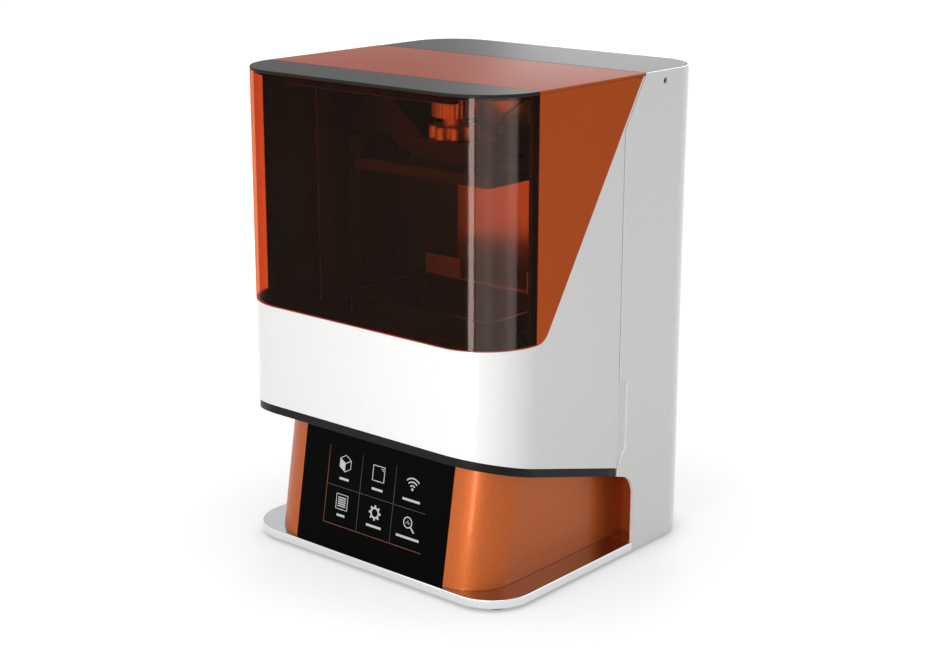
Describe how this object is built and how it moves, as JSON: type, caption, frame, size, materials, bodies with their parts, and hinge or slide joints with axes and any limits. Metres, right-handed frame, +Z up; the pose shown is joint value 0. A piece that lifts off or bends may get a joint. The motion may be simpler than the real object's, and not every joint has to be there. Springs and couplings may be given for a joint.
{
  "type": "resin three-d printer",
  "caption": "Desktop resin printer with flip-up amber hood, white column, leaning orange lower housing with touch screen, vat, lift and build platform.",
  "frame": {"origin": "middle of the footprint, on the surface under the feet", "axes": "+X to the right seen from the front, +Y to the back, +Z up"},
  "size_m": [0.38, 0.37, 0.539],
  "materials": {
    "white_shell": "satin",
    "amber_window": "gloss",
    "orange_panel": "gloss",
    "dark_cover": "gloss",
    "orange_metallic": "satin",
    "black_plastic": "matte",
    "black_glass": "gloss",
    "polished_aluminium": "polished",
    "anodised_aluminium": "satin",
    "black_aluminium": "matte",
    "steel": "brushed",
    "dark_sheet": "satin",
    "grey_sheet": "satin",
    "rubber": "matte",
    "green_board": "satin",
    "white_plastic": "matte",
    "clear_film": "gloss"
  },
  "bodies": {
    "frame": {"base_plate": "polished_aluminium", "rubber_feet": "rubber", "lower_housing": "orange_metallic", "display_glass": "black_glass", "display_module": "black_plastic", "rear_shell": "white_shell", "top_cover": "dark_cover", "rear_panel": "grey_sheet", "socket_plate": "grey_sheet", "power_inlet": "black_plastic", "switch_housing": "black_plastic", "data_sockets": "steel", "exhaust_fan_frame": "black_plastic", "power_supply": "steel", "main_board": "green_board", "rim_plate": "black_plastic", "inner_tub": "dark_sheet", "deck_plate": "black_aluminium", "mask_screen": "black_glass", "light_engine_housing": "black_aluminium", "lens_plate": "clear_film", "led_board": "white_plastic", "heat_sink": "anodised_aluminium", "led_fan_frame": "black_plastic", "chamber_back_wall": "dark_sheet", "bright_back_panel": "steel", "panel_thumb_screws": "black_plastic", "lift_plate": "steel", "lift_tower_cover": "dark_sheet", "lift_rail": "steel", "lift_motor": "black_aluminium", "vat_frame": "black_aluminium", "vat_film": "clear_film", "vat_tabs": "anodised_aluminium", "hinge_pins": "steel", "hinge_brackets": "steel"},
    "hood": {"hood_shell": "white_shell", "hood_trim": "black_plastic", "front_window": "amber_window", "side_windows": "orange_panel", "top_front_band": "dark_cover", "top_orange_panel": "orange_panel", "hood_roof_liner": "dark_sheet", "hood_side_liners": "dark_sheet", "hood_light_bar": "black_plastic", "hood_arm_plates": "steel"},
    "lift": {"lift_carriage": "steel", "carriage_bridge": "black_aluminium", "platform_arm": "black_aluminium", "arm_head": "black_aluminium", "build_platform": "black_aluminium"},
    "lead_screw": {"lead_screw": "steel", "shaft_coupler": "anodised_aluminium"},
    "clamp_nut": {"clamp_nut": "anodised_aluminium"},
    "clamp_knob": {"clamp_knob": "anodised_aluminium"},
    "vat_knob_left": {"vat_knob_left": "black_aluminium"},
    "vat_knob_right": {"vat_knob_right": "black_aluminium"},
    "exhaust_fan": {"exhaust_fan_rotor": "black_plastic"},
    "led_fan": {"led_fan_rotor": "black_plastic"},
    "power_rocker": {"switch_rocker": "black_plastic"}
  },
  "joints": [
    {"name": "hood_hinge", "type": "hinge", "parent": "frame", "child": "hood", "pos_m": [0, 0.0988, 0.5275], "axis": [-1, 0, 0], "range_deg": [0, 75]},
    {"name": "lift_slide", "type": "slide", "parent": "frame", "child": "lift", "axis": [0, 0, -1], "range_m": [0, 0.1655]},
    {"name": "lead_screw_spin", "type": "hinge", "parent": "frame", "child": "lead_screw", "pos_m": [-0.16, 0.01, 0.257], "axis": [0, 0, 1], "range_deg": [-5, 7452.5]},
    {"name": "clamp_nut_turn", "type": "hinge", "parent": "lift", "child": "clamp_nut", "pos_m": [0, -0.024, 0.4608], "axis": [0, 0, 1], "range_deg": [0, 360]},
    {"name": "clamp_knob_turn", "type": "hinge", "parent": "lift", "child": "clamp_knob", "pos_m": [0, -0.024, 0.4608], "axis": [0, 0, 1], "range_deg": [0, 360]},
    {"name": "vat_knob_left_turn", "type": "hinge", "parent": "frame", "child": "vat_knob_left", "pos_m": [-0.121, -0.024, 0.265], "axis": [0, 0, 1], "range_deg": [0, 360]},
    {"name": "vat_knob_right_turn", "type": "hinge", "parent": "frame", "child": "vat_knob_right", "pos_m": [0.121, -0.024, 0.265], "axis": [0, 0, 1], "range_deg": [0, 360]},
    {"name": "exhaust_fan_spin", "type": "hinge", "parent": "frame", "child": "exhaust_fan", "pos_m": [0, 0.173, 0.392], "axis": [0, 1, 0], "continuous": true},
    {"name": "led_fan_spin", "type": "hinge", "parent": "frame", "child": "led_fan", "pos_m": [0, -0.024, 0.1205], "axis": [0, 0, 1], "continuous": true},
    {"name": "power_rocker_tilt", "type": "hinge", "parent": "frame", "child": "power_rocker", "pos_m": [-0.052, 0.1798, 0.062], "axis": [1, 0, 0], "range_deg": [0, 14]}
  ],
  "couplings": [
    {"joint": "lead_screw_spin", "follows": "lift_slide", "rad_per_m": 785.4}
  ]
}
